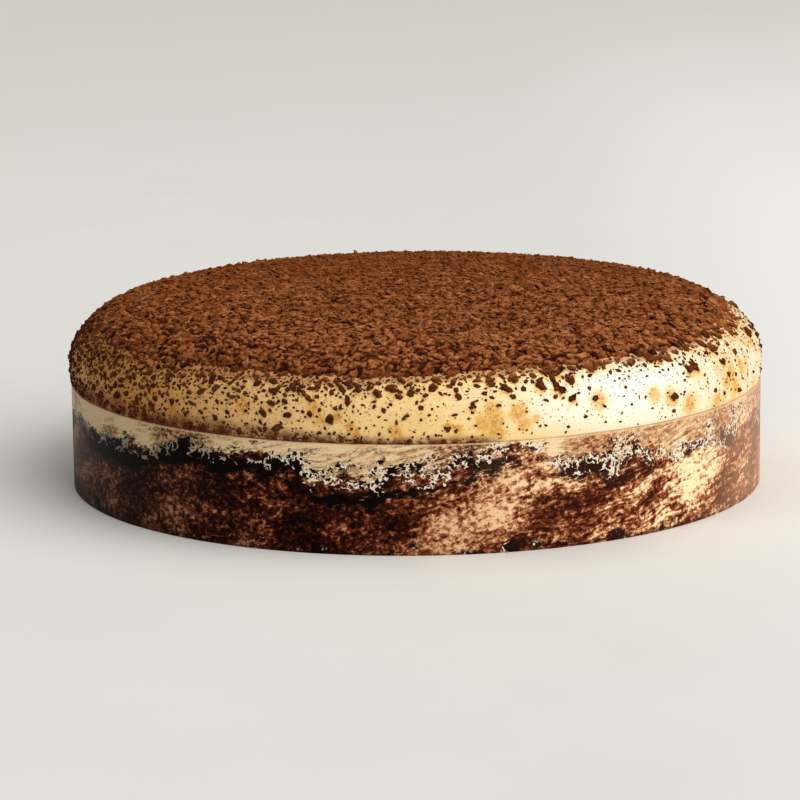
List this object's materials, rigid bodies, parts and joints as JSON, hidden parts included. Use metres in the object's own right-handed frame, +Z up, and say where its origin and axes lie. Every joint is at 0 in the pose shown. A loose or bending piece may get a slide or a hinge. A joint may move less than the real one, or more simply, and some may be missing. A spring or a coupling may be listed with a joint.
{
  "type": "semifreddo cake",
  "caption": "Round frozen cream cake with a rounded shoulder, a clumpy cocoa coat over the crown and a thin marbled band round the lower side.",
  "frame": {"origin": "centre of the flat base, on the surface that the cake stands on", "axes": "+Z up through the crown, -Y towards the side that the picture shows, +X to the right of that view"},
  "size_m": [0.181, 0.1813, 0.0505],
  "materials": {
    "cream": "soft frozen cream, satin, with amber stains",
    "cocoa": "dry clumped cocoa powder",
    "band": "glossy, marbled in cream, brown and near black"
  },
  "bodies": {
    "root": {"semifreddo": "cream", "cocoa_coat": "cocoa", "marbled_band": "band"}
  },
  "joints": []
}
